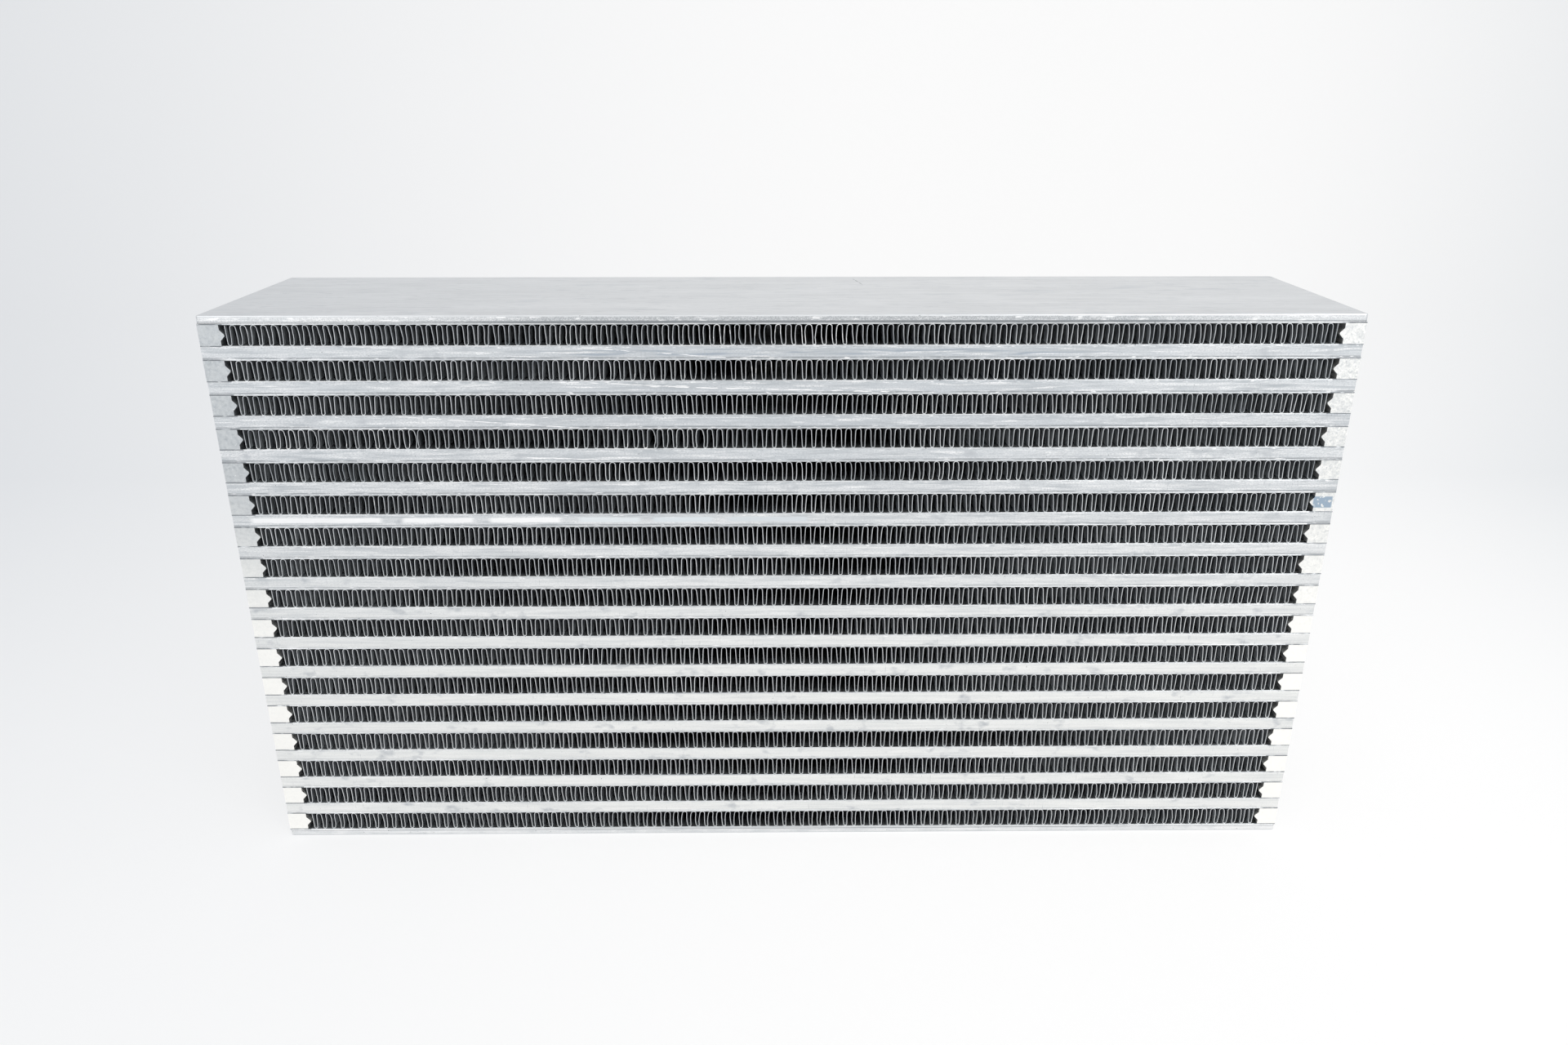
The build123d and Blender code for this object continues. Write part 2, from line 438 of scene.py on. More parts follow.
def in_layer(tree, z):
    """Which layer a height is in, and how far it is above or below the middle of that layer's long bar."""
    height = add(tree, "ShaderNodeMath", {0: z, 1: FIRST_AIR_BASE * MM}, operation="SUBTRACT").outputs[0]
    layers = add(tree, "ShaderNodeMath", {0: height, 1: LAYER_STEP * MM}, operation="DIVIDE").outputs[0]
    number = add(tree, "ShaderNodeMath", {0: layers}, operation="FLOOR").outputs[0]
    over = add(tree, "ShaderNodeMath", {0: layers}, operation="FRACT").outputs[0]
    over = add(tree, "ShaderNodeMath", {0: over, 1: LAYER_STEP * MM}, operation="MULTIPLY").outputs[0]
    offset = add(tree, "ShaderNodeMath", {0: over, 1: LONG_BAR_MIDDLE * MM}, operation="SUBTRACT").outputs[0]
    return number, offset


# %% Long bar's seams
def seam_marks(tree, place, offset, height_ramp):
    """Flux, specks, a painted shade along the two seams of a long bar, and a painted shadow along its lower
    edge.
    """
    away = add(tree, "ShaderNodeMath", {0: offset}, operation="ABSOLUTE").outputs[0]
    seam = band(tree, away, 2.7, 3.4, 0.9)
    seams_higher_up = chain(tree, "MULTIPLY", seam, height_ramp)
    # Painted shadow: a strip along the bar's lower edge is painted darker, as light comes from above.
    lower_seam_shadow = chain(
        tree, "MULTIPLY", band(tree, offset, -2.75, -2.35, 0.35),
        patches(tree, place, 2.5, 0.34, 0.50, ratio=6),
    )
    # Painted shade: the seams are painted darker in patches.
    shade = patches(tree, place, 1.0, 0.50, 0.72, ratio=5, shift=0.4)
    flux = patches(tree, place, 0.8, 0.58, 0.70, ratio=6, shift=8.2)
    specks = patches(tree, place, 0.6, 0.62, 0.74, ratio=1.5)
    return [
        (chain(tree, "MULTIPLY", lower_seam_shadow, height_ramp, 0.7), "#8e9296"),
        (chain(tree, "MULTIPLY", seams_higher_up, shade, 0.7), "#b4b8bc"),
        (chain(tree, "MULTIPLY", seam, flux), "#ffffff"),
        (chain(tree, "MULTIPLY", seams_higher_up, specks), "#93979b"),
    ]


# %% Long bar's scratches and wiped stretches
SCRATCHES = [            # start and end on the front, (x, z), and width, all in millimetres
    ((-196.0, 254.4), (-111.0, 248.8), 0.28),
    ((-112.0, 272.2), (-50.0, 270.0), 0.26),
    ((-66.0, 269.8), (52.0, 267.0), 0.34),
    ((-100.0, 289.6), (-28.0, 284.6), 0.24),
    ((-134.0, 232.4), (-92.0, 231.2), 0.28),
]
SCRATCH_WOBBLE = 0.5     # how far a scratch strays from its line, in millimetres
WIPED_STRETCHES = [      # start and end along the bar, and colour
    (-280.0, -212.0, "#ffffff"), (-201.0, -164.0, "#ffffff"), (-155.0, -118.0, "#ffffff"),
    (-108.0, -76.0, "#e6ecef"), (-69.0, -38.0, "#dfe6ea"), (-30.0, 12.0, "#dae0e4"),
]
WIPED_BAR = 11           # the charge layer, from the bottom, that carries them


def scratches_and_wipes(tree, place, x, z, front):
    """Bright scratches across the front, and stretches of one bar that were wiped and came out whiter."""
    stray = add(tree, "ShaderNodeTexNoise", {
        "Vector": place, "Scale": cells(7), "Detail": 4.0,
    }).outputs["Fac"]
    stray = chain(tree, "MULTIPLY", stray, 2 * SCRATCH_WOBBLE * MM)
    wobbling = chain(tree, "SUBTRACT", chain(tree, "ADD", z, stray), SCRATCH_WOBBLE * MM)
    scratched = chain(
        tree, "MULTIPLY", front, patches(tree, place, 1.0, 0.44, 0.52, ratio=7),
        chain(tree, "MAXIMUM", *[scratch(tree, x, wobbling, *line) for line in SCRATCHES]),
    )
    middle = (WIPED_BAR - 1) * LAYER_STEP + FIRST_AIR_BASE + LONG_BAR_MIDDLE
    wiped = chain(tree, "MULTIPLY", band(tree, wobbling, middle - 0.8, middle + 1.3, 0.6), front, 0.9)
    return [(scratched, "#ffffff")] + [
        (chain(tree, "MULTIPLY", wiped, band(tree, x, low + 2, high - 2, 4)), tint)
        for low, high, tint in WIPED_STRETCHES
    ]


# %% Long bar: extruded bar with drawing lines
# Satin, painted whiter low down and greyer higher up, a painted light and shade, and streaky higher up,
# with a painted darker reflection in the upper middle, and a few specks and nicks.
def extruded_bar_aluminium():
    material, tree, place, axes = new_material("extruded_bar_aluminium")
    colour, roughness, normal = bare_aluminium(
        tree, place, "#dadddf", "#ffffff", along=0, line_mm=0.9, bloom_mm=9, roughness=(0.30, 0.46),
        relief_mm=0.03,
    )
    x, z = axes["X"], axes["Z"]
    number, offset = in_layer(tree, z)
    own = add(tree, "ShaderNodeTexWhiteNoise", {"W": number}, noise_dimensions="1D").outputs["Value"]
    front = add(tree, "ShaderNodeMath", {0: axes["Y"], 1: 0.0}, operation="LESS_THAN").outputs[0]
    height_ramp = higher_up(tree, z, 0.25)
    whiter_low_down = elsewhere(tree, height_ramp)
    # Painted reflection: the upper bars are painted darker in the middle, where they mirror the darker floor
    # far in front.
    painted_dark_reflection = chain(tree, "MULTIPLY", band(tree, z, 262, 320, 75), band(tree, x, -70, 110, 120), 0.55)
    smeared = chain(
        tree, "MULTIPLY", band(tree, z, 286.2, 288.6, 0.9), band(tree, x, -104, 136, 40),
        patches(tree, place, 1.3, 0.46, 0.58, ratio=26),
    )
    dull_streaks = patches(tree, place, 1.6, 0.46, 0.74, ratio=16)
    bright_streaks = patches(tree, place, 1.2, 0.54, 0.72, ratio=20, shift=0.6)
    bloom_grain = patches(tree, place, 0.55, 0.40, 0.66, ratio=1.8, shift=5.1)
    nicks = patches(tree, place, 0.5, 0.68, 0.76, along=2, ratio=16, shift=2.9)
    marks = [
        # Painted light: the lower bars are painted whiter, and the higher ones greyer, for the light the
        # floor throws up.
        (chain(tree, "MULTIPLY", whiter_low_down, 0.85), "#f8f8f4"),
        (chain(tree, "MULTIPLY", height_ramp, 0.22), "#c3c8cc"),
        (chain(tree, "MULTIPLY", own, height_ramp, 0.4), "#d0d3d6"),
        (painted_dark_reflection, "#bfc5cb"),
        (smeared, "#a5afba"),
        (chain(tree, "MULTIPLY", height_ramp, dull_streaks), "#bcc1c5"),
        (chain(tree, "MULTIPLY", height_ramp, bright_streaks), "#ffffff"),
        (chain(tree, "MULTIPLY", height_ramp, bloom_grain, 0.5), "#b4b9bd"),
        (patches(tree, place, 7.0, 0.61, 0.78, ratio=1.6, shift=9.4), "#bfc3c7"),
        *seam_marks(tree, place, offset, height_ramp),
        (patches(tree, place, 0.9, 0.72, 0.78, shift=1.7), "#74797d"),
        (chain(tree, "MULTIPLY", nicks, 0.7), "#a3a8ac"),
        *scratches_and_wipes(tree, place, x, z, front),
    ]
    finish_metal(tree, marked(tree, colour, marks), roughness, normal)
    return material


LONG_BAR_FINISH = told(extruded_bar_aluminium())

# %% [markdown]
# ### End bar
#
# An end bar is cut short from the same kind of bar, so its end grain faces the front, and blotches form
# there in the furnace. Painting them would tie them to one bar, so patches of noise in a few sizes and tints
# make all 68 ends, no two alike. Only the ends get them, and the long sides keep their drawing lines.

# %% End bar: cut short from the same kind of bar, dulled and blotched at its end grain
# Its cut ends are a matt, cloudy white, painted greyer on the upper left and whiter low down, a painted shade
# and light, with one wet stain.
MOTTLING = [             # size in mm, start, full, ratio and shift of its patches, then strength and colour
    (2.6, 0.40, 0.72, 1.0, 1.9, 0.60, "#cccfd0"),
    (0.7, 0.40, 0.70, 1.0, 6.3, 0.40, "#bfc2c4"),
    (2.2, 0.60, 0.74, 1.0, 8.8, 0.70, "#b2b6b9"),
    (1.0, 0.64, 0.74, 2.0, 3.1, 0.45, "#ffffff"),
    (0.5, 0.68, 0.78, 1.0, 0.2, 1.00, "#9ea2a5"),
]


def end_grain_aluminium():
    material, tree, place, axes = new_material("end_grain_aluminium")
    colour, roughness, normal = bare_aluminium(
        tree, place, "#ecece9", "#fffefb", along=1, line_mm=0.8, bloom_mm=3, roughness=(0.42, 0.55),
        relief_mm=0.03,
    )
    x, z = axes["X"], axes["Z"]
    cut_end = elsewhere(tree, from_face(tree, axes["Y"], (0.4, 1.5)))
    height_ramp = chain(tree, "MULTIPLY", cut_end, higher_up(tree, z, 0.35))
    # Painted light: the lower cut ends are painted whiter.
    whiter_low_down = chain(tree, "MULTIPLY", cut_end, elsewhere(tree, higher_up(tree, z, 0.0)), 0.85)
    # Painted shade: the upper ends of the left column are painted greyer, as the light comes from the right.
    shaded_upper_left = chain(tree, "MULTIPLY", band(tree, x, -300, -250, 10), band(tree, z, 215, 320, 110))
    dull_blotches = patches(tree, place, 1.6, 0.40, 0.66, shift=0.8)
    wet = chain(
        tree, "MULTIPLY", band(tree, x, 279.2, 288.2, 1.0), band(tree, z, 203.9, 209.4, 0.8),
        patches(tree, place, 2.4, 0.36, 0.42),
    )
    marks = [
        (shaded_upper_left, "#c3c7ca"),
        (chain(tree, "MULTIPLY", shaded_upper_left, dull_blotches, 0.8), "#aab0b4"),
        (patches(tree, place, 1.8, 0.48, 0.76, along=1, ratio=14, shift=4.2), "#cfd2d3"),
    ]
    for size_mm, start, full, ratio, shift, strength, tint in MOTTLING:
        mottled = patches(tree, place, size_mm, start, full, ratio=ratio, shift=shift)
        marks.append((chain(tree, "MULTIPLY", height_ramp, mottled, strength), tint))
    colour = marked(tree, colour, marks + [(whiter_low_down, "#fffefa"), (wet, "#9fb0c0")])
    finish_metal(tree, colour, roughness, normal)
    return material


END_BAR_FINISH = told(end_grain_aluminium())

# %% [markdown]
# ### Fin foil
#
# A fin shows two surfaces: its flanks, which the furnace has dulled, and its cut edges, which face the front.
# They are one sheet of foil, but they take the light so differently that each has a finish of its own.

# %% Fin foil: grey flanks after the furnace
# Rolled foil is shiny, but the furnace leaves its flanks a matt grey, banded where the louvres stand. The
# real louvres are too fine to model, and they trap the light, so the foil is painted darker a few millimetres
# in, a painted shade, and painted darker still there in the upper layers.
def brazed_foil_aluminium():
    material, tree, place, axes = new_material("brazed_foil_aluminium")
    louvres = add(tree, "ShaderNodeTexNoise", {
        "Vector": stretched(tree, place, 2, 14), "Scale": cells(1.1), "Detail": 2.0,
    }).outputs["Fac"]
    tone = add(tree, "ShaderNodeMapRange", {
        "Value": louvres, "From Min": 0.42, "From Max": 0.58,
    }).outputs["Result"]
    colour = add(tree, "ShaderNodeMix", {
        FACTOR: tone, COLOUR_A: linear("#7a7f84"), COLOUR_B: linear("#d0d4d7"),
    }, data_type="RGBA").outputs[MIXED]
    # Painted shade: the flanks are painted darker a few millimetres in, and darker still in the upper layers.
    inside = from_face(tree, axes["Y"], (8, 30))
    colour = marked(tree, colour, [
        (inside, "#7c8084"),
        (chain(tree, "MULTIPLY", inside, higher_up(tree, axes["Z"], 0.0)), "#3a3d40"),
    ])
    finish_metal(tree, colour, 0.6)
    return material


FOIL_FINISH = told(brazed_foil_aluminium())

# %% Cut edge of the foil: dull grey, with painted highlights where knocks bent it
# Its thin edge draws each fold as a light line, painted whiter low down, and painted white where dented walls
# would catch the light.
KNOCKS = [               # layer from the bottom, start and end along X, heights of its painted highlight, and dent, in mm
    (17, -36.0, 30.0, 1.0, 10.0, 0.60), (16, -95.0, -30.0, 0.5, 3.0, 0.35),
    (16, -18.0, -8.0, 2.0, 9.0, 0.45), (15, -275.0, -225.0, 0.0, 2.5, 0.30),
    (14, -276.0, -170.0, 0.0, 2.5, 0.45), (14, -80.0, -30.0, 0.0, 2.5, 0.45),
    (10, -50.0, -35.0, 1.0, 9.0, 0.40), (12, -230.0, -215.0, 1.0, 9.0, 0.30),
]


def cut_foil_edge_aluminium():
    material, tree, place, axes = new_material("cut_foil_edge_aluminium")
    wear = add(tree, "ShaderNodeTexNoise", {
        "Vector": place, "Scale": cells(30), "Detail": 5.0,
    }).outputs["Fac"]
    wear = add(tree, "ShaderNodeMapRange", {
        "Value": wear, "From Min": 0.35, "From Max": 0.65,
    }).outputs["Result"]
    colour = add(tree, "ShaderNodeMix", {
        FACTOR: wear, COLOUR_A: linear("#a0a5a9"), COLOUR_B: linear("#e9ebed"),
    }, data_type="RGBA").outputs[MIXED]
    knock_highlights = []
    for layer, start, end, lowest, highest, _ in KNOCKS:
        base = FIRST_AIR_BASE + (layer - 1) * LAYER_STEP
        knock_highlights.append(chain(
            tree, "MULTIPLY", band(tree, axes["X"], start, end, 4),
            band(tree, axes["Z"], base + lowest, base + highest, 0.8),
        ))
    # Painted highlight: the edges of dented walls are painted white, where bent foil would catch the light.
    bright = chain(
        tree, "MULTIPLY", chain(tree, "MAXIMUM", *knock_highlights), patches(tree, place, 4.0, 0.54, 0.60, shift=3.3),
    )
    # Painted light: the edges are painted whiter low down.
    whiter_low_down = chain(tree, "MULTIPLY", elsewhere(tree, higher_up(tree, axes["Z"], 0.0)), 0.5)
    finish_metal(tree, marked(tree, colour, [(whiter_low_down, "#f4f5f6"), (bright, "#ffffff")]), 0.35)
    return material


FOIL_EDGE_FINISH = told(cut_foil_edge_aluminium())

# %% [markdown]
# ## Making a piece
#
# A new piece is modelled in a bmesh, in place, and then becomes an object at the origin that rides on the
# core's only body and stands for its CAD node.

# %% From a bmesh to a piece of the core
def make_piece(name, bm, finishes, node):
    """Turns a bmesh into the piece that stands for a CAD node, and frees the bmesh."""
    mesh = bpy.data.meshes.new(name)
    bm.to_mesh(mesh)
    bm.free()
    for finish in finishes:
        mesh.materials.append(finish)
    piece = bpy.data.objects.new(name, mesh)
    bpy.context.scene.collection.objects.link(piece)
    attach(piece, "root")
    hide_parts(node)
    return piece


def triangles(mesh):
    """How many triangles a mesh makes."""
    return sum(len(polygon.vertices) - 2 for polygon in mesh.polygons)


def block(low, high):
    """A bmesh box between two corners."""
    bm = bmesh.new()
    bmesh.ops.create_cube(bm, size=1.0)
    bmesh.ops.scale(bm, vec=high - low, verts=bm.verts)
    bmesh.ops.translate(bm, vec=(low + high) / 2, verts=bm.verts)
    return bm


def round_edges(bm, edges, radius, segments):
    """Rounds edges as a deburring tool would."""
    bmesh.ops.bevel(
        bm, geom=edges, offset=radius, segments=segments, affect="EDGES", profile=0.5, material=-1,
        clamp_overlap=True,
    )


def runs_along(edge, axis):
    """Whether an edge is parallel to the axis 0, 1 or 2."""
    step = edge.verts[1].co - edge.verts[0].co
    return abs(step[axis]) > 0.999 * step.length


# %% [markdown]
# ## Side plates
#
# A side plate is a rectangle sheared from 4 mm sheet. What shows that it is a real plate is its rim: the
# shear rounds the upper edge, and a hand file has taken off the four corners. Bevels on the upright edges
# first and on the rim afterwards give the corners the right blend. The edge gets its own finish.

# %% Side plates
PLATE_CORNER_RADIUS = 1.5 * MM
PLATE_RIM_RADIUS = 0.45 * MM


def side_plate(name):
    low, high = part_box(name)
    bm = block(low, high)
    round_edges(bm, [e for e in bm.edges if runs_along(e, 2)], PLATE_CORNER_RADIUS, 4)
    rims = [e for e in bm.edges if not runs_along(e, 2)]
    round_edges(bm, rims, PLATE_RIM_RADIUS, 2)
    for face in bm.faces:
        face.material_index = 1 if abs(face.normal.z) < 0.6 else 0
    return make_piece(name + "_dressed", bm, [PLATE_FINISH, PLATE_EDGE_FINISH], name)


for name in ("top_plate", "bottom_plate"):
    plate = side_plate(name)
    print(plate.name, triangles(plate.data), "triangles")

# %% [markdown]
# ## Parting sheets
#
# The sheets are only 0.6 mm thick, so all that shows of them is a bright line at each edge. The line shines
# because the filler on the sheet melts and rounds the edge. A box with a rounded rim, once for each sheet,
# is enough. The heights come from the air layers' fins, which fill the space between two sheets.

# %% Parting sheets
SHEET_THICKNESS = 0.6 * MM
SHEET_RIM_RADIUS = 0.15 * MM

sheets = bmesh.new()
for layer in range(1, AIR_LAYERS + 1):
    air_low, air_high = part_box(f"air_fin_{layer:02d}")
    for underside in (air_low.z - SHEET_THICKNESS, air_high.z):
        sheet = block(
            Vector((LOW.x, LOW.y, underside)), Vector((HIGH.x, HIGH.y, underside + SHEET_THICKNESS)),
        )
        round_edges(sheet, list(sheet.edges), SHEET_RIM_RADIUS, 2)
        one_sheet = bpy.data.meshes.new("one_sheet")
        sheet.to_mesh(one_sheet)
        sheet.free()
        sheets.from_mesh(one_sheet)
        bpy.data.meshes.remove(one_sheet)
piece = make_piece("parting_sheets_dressed", sheets, [SHEET_FINISH], "parting_sheets")
print(piece.name, triangles(piece.data), "triangles")

# %% [markdown]
# ## Closing bars
#
# The bars that close a layer are extruded, with a blunt nose on the inner side that keeps the fin's end off
# the bar. A box is cut by four planes to get the strips of the nose, the middle strip is pulled out, and the
# long edges are rounded. One function makes every bar, lying along X with its nose towards +Y, and a turn
# and a shift put it in its place. The bars were stacked by hand, so no two end quite flush.

# %% One closing bar
NOSE_TIP_RADIUS = 0.2 * MM
BAR_END_SLACK = 0.30 * MM
BAR_FACE_SLACK = 0.14 * MM


def closing_bar(length, width, height, nose_reach, nose_root, nose_tip, edge_radius):
    """A bar along X with its outer face on y = 0 and its underside on z = 0, centred on x = 0."""
    bm = block(Vector((-length / 2, 0, 0)), Vector((length / 2, width, height)))
    for strip in (nose_root, nose_tip):
        for level in (height / 2 - strip / 2, height / 2 + strip / 2):
            bmesh.ops.bisect_plane(
                bm, geom=bm.verts[:] + bm.edges[:] + bm.faces[:], plane_co=(0, 0, level), plane_no=(0, 0, 1),
            )
    tip = [v for v in bm.verts if v.co.y > width / 2 and abs(v.co.z - height / 2) < nose_tip / 2 + 0.01 * MM]
    bmesh.ops.translate(bm, vec=(0, nose_reach, 0), verts=tip)
    outer = [
        e for e in bm.edges if runs_along(e, 0)
        and all(min(v.co.z, height - v.co.z) < 0.01 * MM for v in e.verts)
    ]
    round_edges(bm, outer, edge_radius, 2)
    nose_edges = [
        e for e in bm.edges if runs_along(e, 0) and all(v.co.y > width + nose_reach / 2 for v in e.verts)
    ]
    round_edges(bm, nose_edges, NOSE_TIP_RADIUS, 2)
    mesh = bpy.data.meshes.new("closing_bar")
    bm.to_mesh(mesh)
    bm.free()
    return mesh


def bar_pair(mesh, length, turn, offset, base, rng):
    """A bmesh with two of these bars facing each other. turn is the first one's turn about Z. Each is a
    little short and set back a little, as bars are that were stacked by hand."""
    bm = bmesh.new()
    for half_turn in (0.0, math.pi):
        start = len(bm.verts)
        bm.from_mesh(mesh)
        bm.verts.ensure_lookup_table()
        own = bm.verts[start:]
        short_left, short_right = rng.uniform(0.0, BAR_END_SLACK, 2)
        set_back = rng.uniform(0.0, BAR_FACE_SLACK)
        cut = Matrix.Diagonal(((length - short_left - short_right) / length, 1.0, 1.0, 1.0))
        seat = Matrix.Translation(((short_left - short_right) / 2, set_back - offset, base))
        bmesh.ops.transform(bm, matrix=Matrix.Rotation(turn + half_turn, 4, "Z") @ seat @ cut, verts=own)
    return bm


# %% Long bars and end bars
LONG_BAR = {
    "width": 10.0 * MM, "nose_reach": 1.8 * MM, "nose_root": 3.6 * MM, "nose_tip": 0.9 * MM,
    "edge_radius": 0.09 * MM,
}
END_BAR = {
    "width": 10.6 * MM, "nose_reach": 2.2 * MM, "nose_root": 5.4 * MM, "nose_tip": 0.7 * MM,
    "edge_radius": 0.24 * MM,
}
stacking = np.random.default_rng(7)

low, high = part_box("long_bars_01")
long_bar = closing_bar(length=high.x - low.x, height=high.z - low.z, **LONG_BAR)
for layer in range(1, AIR_LAYERS):
    name = f"long_bars_{layer:02d}"
    low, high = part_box(name)
    bm = bar_pair(long_bar, high.x - low.x, 0.0, high.y, low.z, stacking)
    make_piece(name + "_dressed", bm, [LONG_BAR_FINISH], name)

low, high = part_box("end_bars_01")
end_bar = closing_bar(length=high.y - low.y, height=high.z - low.z, **END_BAR)
for layer in range(1, AIR_LAYERS + 1):
    name = f"end_bars_{layer:02d}"
    low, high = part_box(name)
    bm = bar_pair(end_bar, high.y - low.y, -math.pi / 2, high.x, low.z, stacking)
    make_piece(name + "_dressed", bm, [END_BAR_FINISH], name)
print("bars:", triangles(long_bar), "triangles a long bar,", triangles(end_bar), "an end bar")

# %% [markdown]
# ## Fins
#
# A fin is one long foil, folded by rollers into a ribbon of tall, narrow loops. It could be made fold by
# fold, but a ribbon is a profile pushed through the core: one fold is drawn as five points, `spin` with no
# angle repeats it in a row, an extrusion gives it the core's depth, a bevel rounds the crowns, and
# `solidify` gives the foil its thickness. Two cuts across each wall give it points to bow at later.
#
# The CAD frame draws one fold for three, so here the air fins' real fold pitch of 5.12 mm comes back. The
# foil is drawn 0.30 mm thick, about twice the real gauge, because a thinner edge would vanish in the render.

# %% A folded ribbon
FOIL_THICKNESS = 0.30 * MM
FOOT_SHARE = 0.40           # how much of the pitch a foot takes
CROWN_SHARE = 0.45          # and a crown, so that the walls lean a little
CROWN_BEND, FOOT_BEND = (0.49, 3), (0.42, 2)      # radius as a share of the crown or foot, and segments
WALL_CUTS = (0.36, 0.64)    # where a wall gets points to bow at, as shares of its height
WELD = 0.06 * MM            # points closer than this are one point


def fitted(width, pitch):
    """How many folds of about this pitch fill a width, and the pitch that fills it exactly. A ribbon starts
    and ends with a wall, so it is one crown shorter than its folds."""
    folds = round(width / pitch + CROWN_SHARE)
    return folds, width / (folds - CROWN_SHARE)


def folded_ribbon(folds, pitch, height, depth, cuts):
    """A ribbon that repeats along X and is extruded along Y, centred on x = 0 and y = 0, from z = 0 up.
    cuts are the distances from the front at which it gets an extra row of points."""
    foot, crown = FOOT_SHARE * pitch, CROWN_SHARE * pitch
    top = height - FOIL_THICKNESS
    first = -folds * pitch / 2
    bm = bmesh.new()
    path = [(crown / 2, top), (pitch / 2 - foot / 2, 0), (pitch / 2 + foot / 2, 0), (pitch - crown / 2, top),
            (pitch + crown / 2, top)]
    points = [bm.verts.new((first + x, -depth / 2, z)) for x, z in path]
    edges = [bm.edges.new(pair) for pair in zip(points, points[1:])]
    bmesh.ops.spin(
        bm, geom=points + edges, cent=(0, 0, 0), axis=(0, 0, 1), dvec=(pitch, 0, 0), angle=0.0,
        steps=folds - 1, use_duplicate=True,
    )
    bmesh.ops.remove_doubles(bm, verts=bm.verts, dist=WELD)
    bmesh.ops.delete(bm, geom=[max(bm.verts, key=lambda v: v.co.x)], context="VERTS")
    swept = bmesh.ops.extrude_edge_only(bm, edges=bm.edges[:])
    rear = [g for g in swept["geom"] if isinstance(g, bmesh.types.BMVert)]
    bmesh.ops.translate(bm, vec=(0, depth, 0), verts=rear)

    for width, (share, segments), above in ((crown, CROWN_BEND, True), (foot, FOOT_BEND, False)):
        bends = [
            e for e in bm.edges if runs_along(e, 1) and len(e.link_faces) == 2
            and (e.verts[0].co.z > top / 2) == above
        ]
        round_edges(bm, bends, share * width, segments)
    bmesh.ops.remove_doubles(bm, verts=bm.verts, dist=WELD)
    planes = [((0, cut - depth / 2, 0), (0, 1, 0)) for cut in cuts]
    planes += [((0, 0, share * top), (0, 0, 1)) for share in WALL_CUTS]
    for point, normal in planes:
        everything = bm.verts[:] + bm.edges[:] + bm.faces[:]
        bmesh.ops.bisect_plane(bm, geom=everything, plane_co=point, plane_no=normal)
    bmesh.ops.recalc_face_normals(bm, faces=bm.faces)
    bmesh.ops.solidify(bm, geom=bm.faces[:], thickness=FOIL_THICKNESS)
    bmesh.ops.recalc_face_normals(bm, faces=bm.faces)
    low_z = min(v.co.z for v in bm.verts)
    bmesh.ops.translate(bm, vec=(0, 0, -low_z), verts=bm.verts)
    return bm


# %% The air fins' ribbon
AIR_FOLD_PITCH = 5.12 * MM
AIR_FIN_CUTS = [7 * MM]     # a row of points this far behind the front, where a wall can curve
SHARP_BEND = math.radians(50)       # a sharper bend than this is an edge, a softer one is shaded round

low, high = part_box("air_fin_01")
air_folds, AIR_PITCH = fitted(high.x - low.x, AIR_FOLD_PITCH)
ribbon = folded_ribbon(air_folds, AIR_PITCH, high.z - low.z, high.y - low.y, AIR_FIN_CUTS)
for face in ribbon.faces:
    face.material_index = 1 if abs(face.normal.y) > 0.9 else 0
    face.smooth = True
air_ribbon = bpy.data.meshes.new("air_ribbon")
ribbon.to_mesh(air_ribbon)
ribbon.free()
air_ribbon.set_sharp_from_angle(angle=SHARP_BEND)
print("air ribbon:", air_folds, "folds,", triangles(air_ribbon), "triangles")

# %% [markdown]
# ## Settling the fins
#
# No two folds of a real fin are quite alike. The ribbon is springy, so when the stack is clamped each crown
# and foot is brazed where it happens to stand, the walls bow, and the ribbon's end stops a little short of
# the bar. Fins that were knocked have dented walls. All of that is small sideways moves of the points that
# are already there: crowns, feet and the middle of the walls each get their own. The numbers are random but
# seeded by the layer, so the core comes out the same each time.

# %% Moving crowns, feet and walls
DENT_REACH = 14.0 * MM      # how far behind the front edge a dent fades out
DENT_FADE = 12.0            # and how far from its two ends along X, in millimetres
CURLED_LAYERS = (17, 13, 2, 1)      # layers whose walls were pressed to a curve
# Moves along X, in millimetres.
DRIFT = 0.055               # of each crown and foot
BOW, BOW_SPREAD, CURLED_SPREAD = 0.05, 0.035, 0.10          # of each wall's middle
TWIST_SPREAD, CURLED_TWIST = 0.025, 0.10                    # of each wall, to an S
SWAY, CURLED_SWAY = (0.0, 0.14), (0.35, 0.50)               # of the walls' middles, in a long wave
LEAN = (-0.1, 0.45)                                         # of the crowns over the feet
WAVE, STRONG_WAVE = (0.1, 0.5), (0.5, 1.0)                  # of the foil just behind its front edge
SWAY_LENGTH, LEAN_LENGTH, WAVE_LENGTH = 0.52, 0.23, 0.31    # of one wave of each, in metres
LEFT_GAP, RIGHT_GAP = (0.35, 0.9), (0.35, 1.6)              # between the ribbon's ends and the bars


def wave_along(x, length, phase):
    """A sine wave along the core, from -1 to 1."""
    return np.sin(2 * math.pi * x / length + phase)


